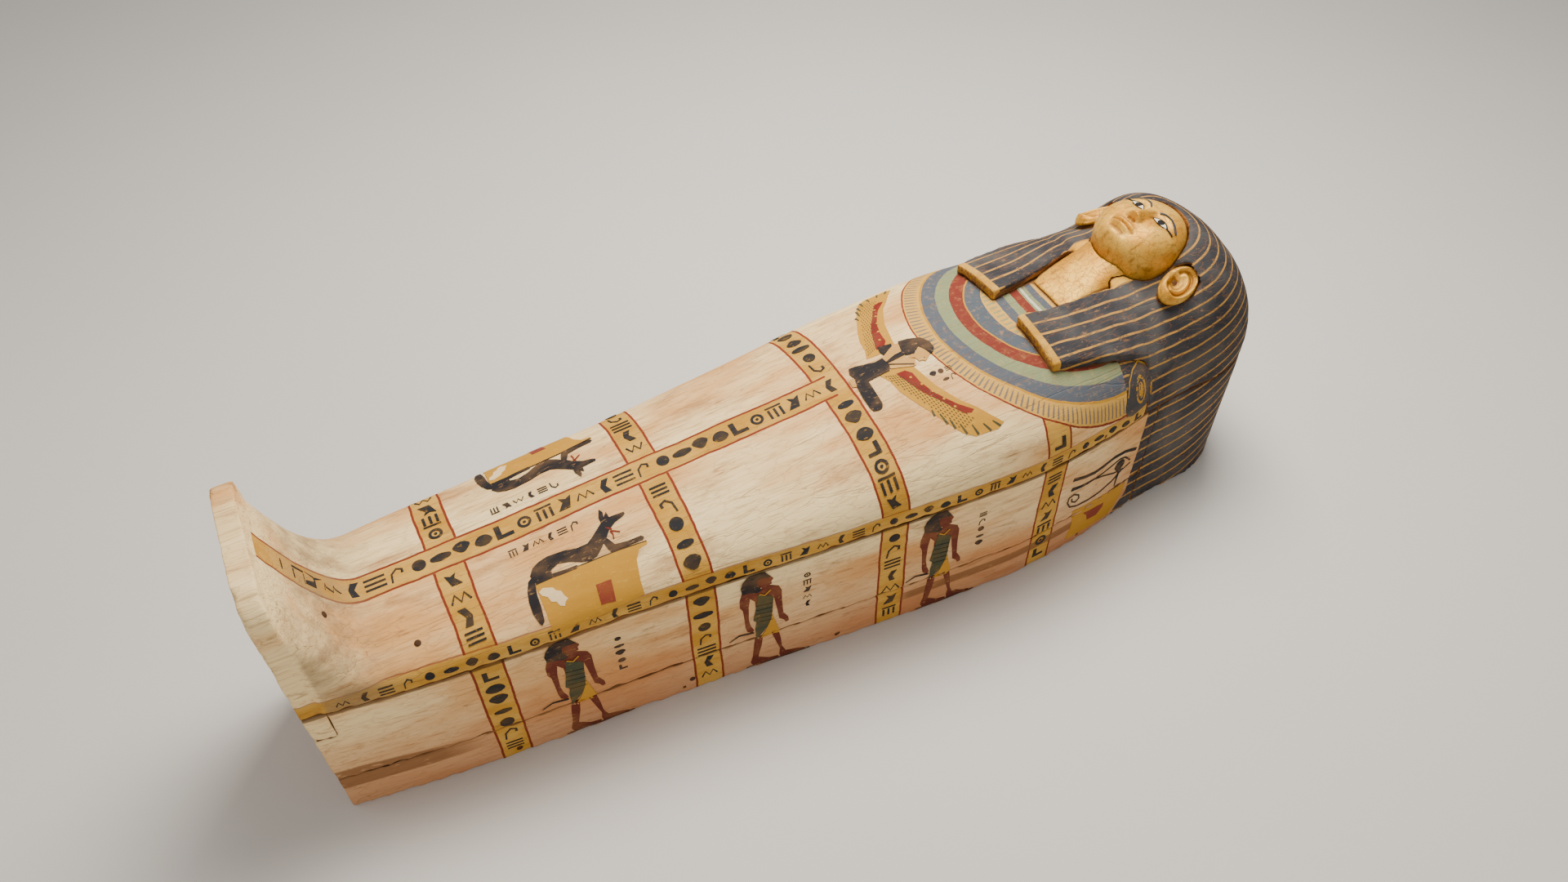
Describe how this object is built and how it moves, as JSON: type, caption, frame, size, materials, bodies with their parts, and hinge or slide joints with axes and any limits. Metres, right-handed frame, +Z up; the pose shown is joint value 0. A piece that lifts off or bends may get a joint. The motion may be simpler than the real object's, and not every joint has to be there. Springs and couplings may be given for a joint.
{
  "type": "mummy case",
  "caption": "Painted wooden coffin in human form: a plank box with a floor, and a lid with upright foot, striped wig, lappets and gold mask that lifts off.",
  "frame": {"origin": "on the floor, under the middle of the case's length and width", "axes": "+X from the feet to the head, +Y the figure's right-hand side, +Z up"},
  "size_m": [1.9, 0.5138, 0.582],
  "materials": {
    "bare_wood": "rough",
    "painted_wood": "matt paint on a cream ground",
    "wig_paint": "matt paint",
    "gold_paint": "satin paint"
  },
  "bodies": {
    "case_box": {"floor_plank_left": "bare_wood", "floor_plank_centre": "bare_wood", "floor_plank_right": "bare_wood", "side_lower_left": "painted_wood", "side_lower_right": "painted_wood", "side_upper_left": "painted_wood", "side_upper_right": "painted_wood", "corner_block_left": "painted_wood", "box_foot_board": "painted_wood", "head_wall_left": "wig_paint", "head_wall_right": "wig_paint", "floor_dowels": "bare_wood", "side_floor_dowels": "bare_wood", "side_plank_dowels": "bare_wood", "head_side_dowels": "bare_wood", "head_middle_dowels": "bare_wood", "foot_board_dowels": "bare_wood"},
    "lid": {"lid_plank_left": "painted_wood", "lid_plank_centre": "painted_wood", "lid_plank_right": "painted_wood", "lid_foot_wedge": "painted_wood", "lid_foot_board": "painted_wood", "wig_block": "wig_paint", "lappet_left": "wig_paint", "lappet_right": "wig_paint", "throat": "gold_paint", "mask": "gold_paint", "ear_left": "gold_paint", "ear_right": "gold_paint", "tenons": "bare_wood", "lid_plank_dowels": "bare_wood", "lid_foot_dowels": "bare_wood", "wig_dowels": "bare_wood", "tenon_pegs": "bare_wood", "mask_pegs": "bare_wood", "lappet_pegs": "bare_wood"}
  },
  "joints": [
    {"name": "lid_lift", "type": "slide", "parent": "case_box", "child": "lid", "axis": [0, 0, 1], "range_m": [0, 0.4]}
  ]
}
